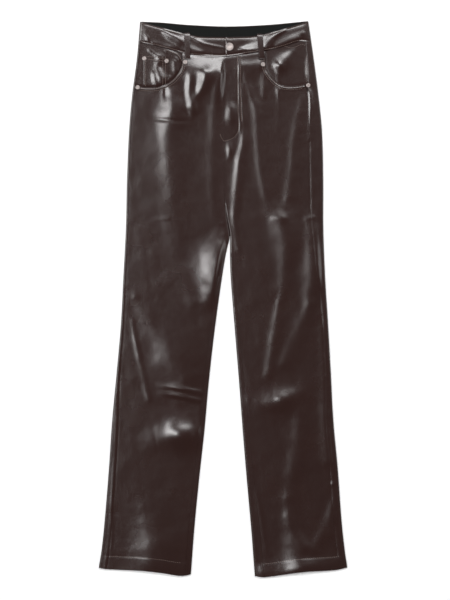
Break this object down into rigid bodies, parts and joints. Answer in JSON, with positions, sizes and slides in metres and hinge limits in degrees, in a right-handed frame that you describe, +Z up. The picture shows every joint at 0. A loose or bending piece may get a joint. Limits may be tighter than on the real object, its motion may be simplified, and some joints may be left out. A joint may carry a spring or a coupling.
{
  "type": "faux leather trousers laid flat",
  "caption": "High-waisted straight-leg five-pocket trousers in glossy dark brown faux leather, laid flat with the front up.",
  "frame": {"origin": "centre of the laid-out garment's bounding box, on the surface it lies on", "axes": "+Z up off the surface, towards the garment's front; +Y from the hems to the waist; +X to the wearer's left"},
  "size_m": [0.4851, 1.0839, 0.01],
  "materials": {
    "faux_leather": "glossy coated",
    "black_facing": "matte woven",
    "zip_tape": "matte woven",
    "silver_metal": "satin"
  },
  "bodies": {
    "root": {"front_right_leg": "faux_leather", "front_left_leg": "faux_leather", "back_right_leg": "faux_leather", "back_left_leg": "faux_leather", "waistband_right": "faux_leather", "waistband_left": "faux_leather", "pocket_facing_right": "faux_leather", "pocket_facing_left": "faux_leather", "coin_pocket": "faux_leather", "belt_loop_right": "faux_leather", "belt_loop_left": "faux_leather", "fly_shield": "faux_leather", "waistband_facing": "black_facing", "fly_zip": "zip_tape", "jeans_button": "silver_metal", "rivet_right_mouth_1": "silver_metal", "rivet_right_mouth_2": "silver_metal", "rivet_left_mouth_1": "silver_metal", "rivet_left_mouth_2": "silver_metal", "rivet_coin_1": "silver_metal", "rivet_coin_2": "silver_metal"}
  },
  "joints": []
}
